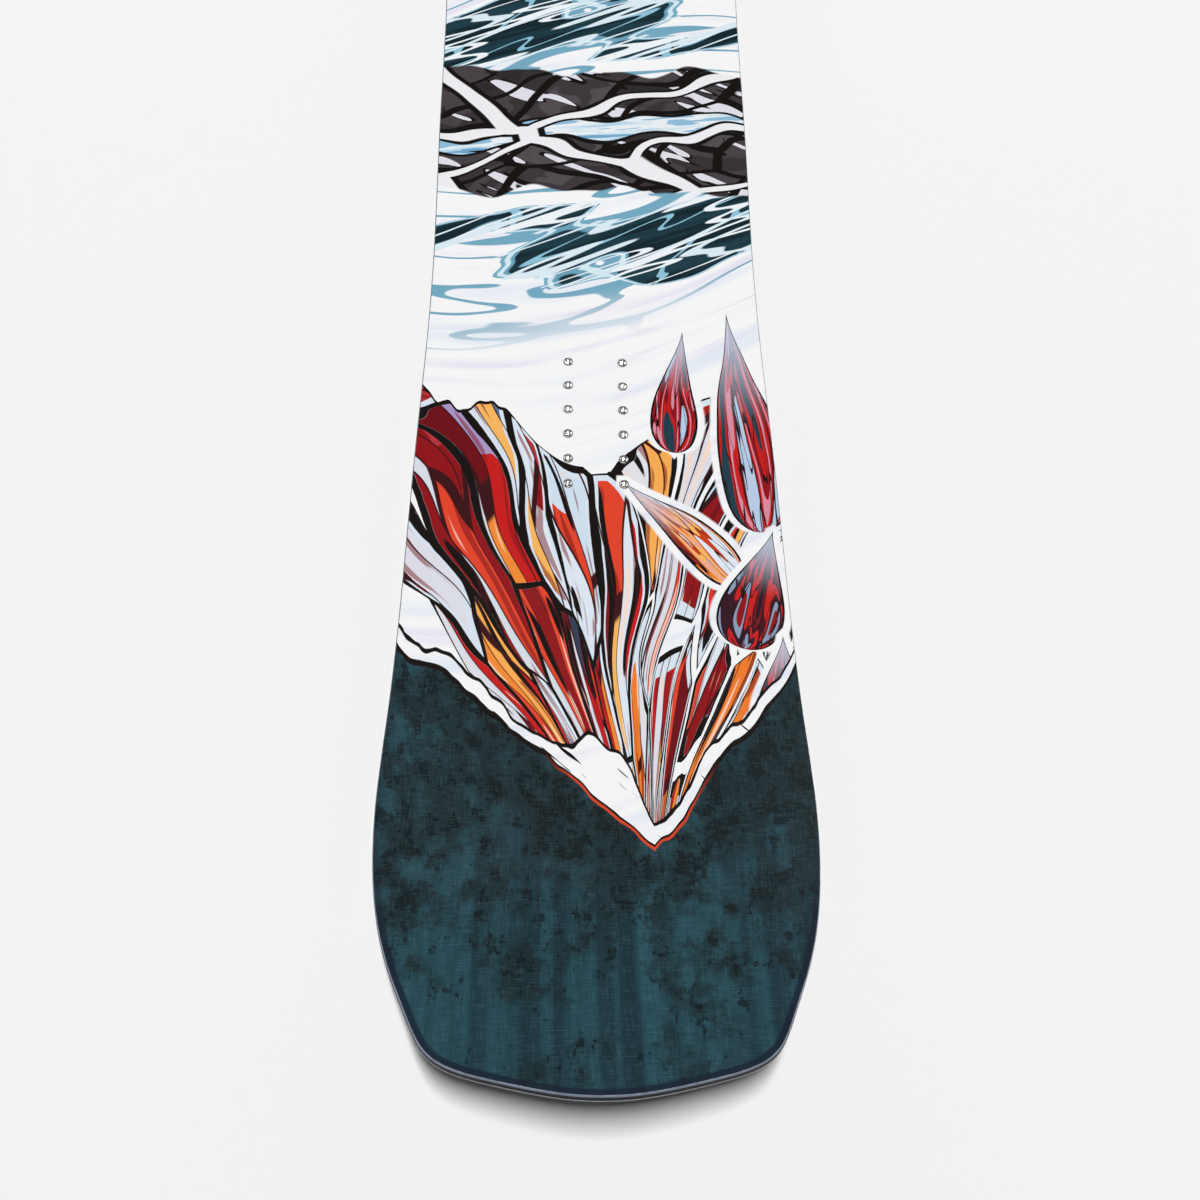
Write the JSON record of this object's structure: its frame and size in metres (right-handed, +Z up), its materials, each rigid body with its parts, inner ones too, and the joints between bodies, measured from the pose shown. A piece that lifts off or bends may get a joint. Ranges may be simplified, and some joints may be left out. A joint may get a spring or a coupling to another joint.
{
  "type": "snowboard deck",
  "caption": "Twin-tip snowboard deck: steel-edged running base, laminated wood core, turned-up tips, gloss topsheet with a soft abstract pattern, and packs of threaded binding inserts.",
  "frame": {"origin": "on the floor, under the middle of the deck", "axes": "+X along the deck to the nose, +Y across it to the left edge, +Z up from the running base to the topsheet"},
  "size_m": [1.451, 0.2864, 0.0511],
  "materials": {
    "running_base": "black sintered polyethylene with fine lengthwise structure",
    "edge_steel": "ground and polished along the edge",
    "edge_rubber": "matte foil",
    "glass_laminate": "woven glass fibre in grey-tinted cured epoxy resin",
    "sidewall_plastic": "sanded black plastic",
    "spacer_plastic": "sanded grey plastic",
    "wood_pale": "planed, unfinished",
    "wood_dark": "planed, unfinished",
    "insert_steel": "turned stainless steel",
    "cap_plastic": "moulded",
    "topsheet_gloss": "gloss over a fine weave, dark teal with abstract streaks of teal, orange, red and white"
  },
  "bodies": {
    "root": {"base": "running_base", "steel_edge_left": "edge_steel", "steel_edge_right": "edge_steel", "rubber_foil_left": "edge_rubber", "rubber_foil_right": "edge_rubber", "lower_laminate": "glass_laminate", "sidewall_left": "sidewall_plastic", "sidewall_right": "sidewall_plastic", "tip_spacer_nose": "spacer_plastic", "tip_spacer_tail": "spacer_plastic", "core_centre": "wood_pale", "core_left_1": "wood_dark", "core_left_2": "wood_pale", "core_left_3": "wood_dark", "core_left_4": "wood_pale", "core_left_5": "wood_dark", "core_right_1": "wood_dark", "core_right_2": "wood_pale", "core_right_3": "wood_dark", "core_right_4": "wood_pale", "core_right_5": "wood_dark", "inserts_nose": "insert_steel", "inserts_tail": "insert_steel", "insert_caps_nose": "cap_plastic", "insert_caps_tail": "cap_plastic", "upper_laminate": "glass_laminate", "topsheet": "topsheet_gloss"}
  },
  "joints": []
}
